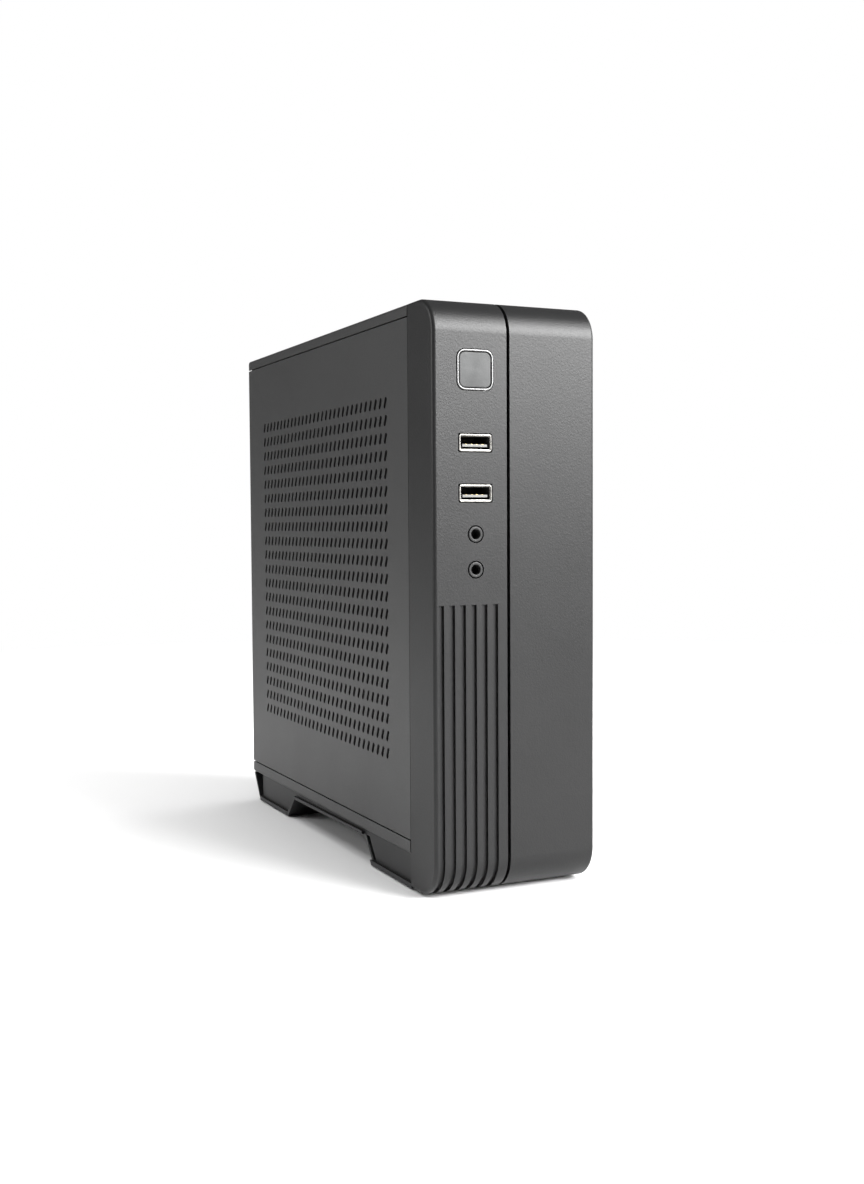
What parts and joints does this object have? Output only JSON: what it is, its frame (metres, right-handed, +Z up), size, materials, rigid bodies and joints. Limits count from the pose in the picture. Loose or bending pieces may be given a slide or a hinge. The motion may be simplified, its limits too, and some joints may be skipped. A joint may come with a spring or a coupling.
{
  "type": "mini pc",
  "caption": "Slim upright desktop computer with a rounded plastic front, vented steel side cover, front sockets and power button, and a footed base.",
  "frame": {"origin": "bottom centre of the bounding box, on the surface the pads stand on", "axes": "+Z up, -Y towards the front, +X to the right seen from the front"},
  "size_m": [0.072, 0.2366, 0.235],
  "materials": {
    "bezel_plastic": "satin dark grey moulding with a fine texture",
    "base_plastic": "satin dark grey moulding",
    "bright_trim": "bright plated trim",
    "button_metal": "spun face, anodised grey",
    "black_plastic": "moulded",
    "pale_plastic": "moulded",
    "socket_steel": "tinned",
    "contact_brass": "plated",
    "jack_plastic": "moulded",
    "circuit_board": "solder mask",
    "memory_board": "solder mask",
    "screw_steel": "black zinc",
    "case_paint": "powder coat, satin dark grey",
    "plain_steel": "zinc plated",
    "pad_rubber": "matt",
    "plated_copper": "nickel plated",
    "fin_aluminium": "plain",
    "choke_grey": "moulded powder",
    "can_aluminium": "sleeved can",
    "drive_case": "bead blasted",
    "lead_jacket": "matt jacket"
  },
  "bodies": {
    "case": {"base_screws": "screw_steel", "base_skirt": "base_plastic", "board_capacitors": "can_aluminium", "board_screws": "screw_steel", "board_standoffs": "contact_brass", "cell_holder": "black_plastic", "chassis_shell": "case_paint", "chipset_heatsink": "fin_aluminium", "coin_cell": "plain_steel", "cpu_chip": "plated_copper", "cpu_socket": "plain_steel", "dc_inlet": "black_plastic", "drive_bracket": "plain_steel", "drive_cable": "lead_jacket", "drive_screws": "screw_steel", "fan_frame": "black_plastic", "fan_screws": "screw_steel", "front_bezel": "bezel_plastic", "front_inner_panel": "plain_steel", "front_io_board": "circuit_board", "front_io_cable": "lead_jacket", "front_io_header": "pale_plastic", "front_io_plug": "pale_plastic", "headphone_jack": "jack_plastic", "heatsink": "fin_aluminium", "heatsink_screws": "screw_steel", "io_board_screws": "screw_steel", "io_shield": "plain_steel", "lan_port": "socket_steel", "m2_drive": "memory_board", "m2_screw": "screw_steel", "m2_socket": "black_plastic", "memory_module_lower": "memory_board", "memory_module_upper": "memory_board", "memory_sockets": "black_plastic", "microphone_jack": "jack_plastic", "motherboard": "circuit_board", "power_button_ring": "bright_trim", "power_chokes": "choke_grey", "power_switch_body": "black_plastic", "rear_audio_jacks": "jack_plastic", "rear_panel": "case_paint", "rear_usb_stack_a": "socket_steel", "rear_usb_stack_b": "socket_steel", "rear_usb_tongues": "pale_plastic", "rubber_pads": "pad_rubber", "storage_drive": "drive_case", "usb_contacts": "contact_brass", "usb_shell_lower": "socket_steel", "usb_shell_upper": "socket_steel", "usb_tongue_lower": "pale_plastic", "usb_tongue_upper": "pale_plastic", "video_port": "socket_steel"},
    "cover": {"side_cover": "case_paint", "cover_thumbscrews": "screw_steel"},
    "button": {"power_button_cap": "button_metal", "power_switch_plunger": "black_plastic"},
    "rotor": {"fan_rotor": "black_plastic"}
  },
  "joints": [
    {"name": "cover_slide", "type": "slide", "parent": "case", "child": "cover", "axis": [0, 1, 0], "range_m": [0, 0.012]},
    {"name": "button_press", "type": "slide", "parent": "case", "child": "button", "axis": [0, 1, 0], "range_m": [0, 0.001], "stiffness_N_per_m": 1200},
    {"name": "fan_spin", "type": "hinge", "parent": "case", "child": "rotor", "pos_m": [-0.01, 0.034, 0.15], "axis": [1, 0, 0], "continuous": true}
  ]
}
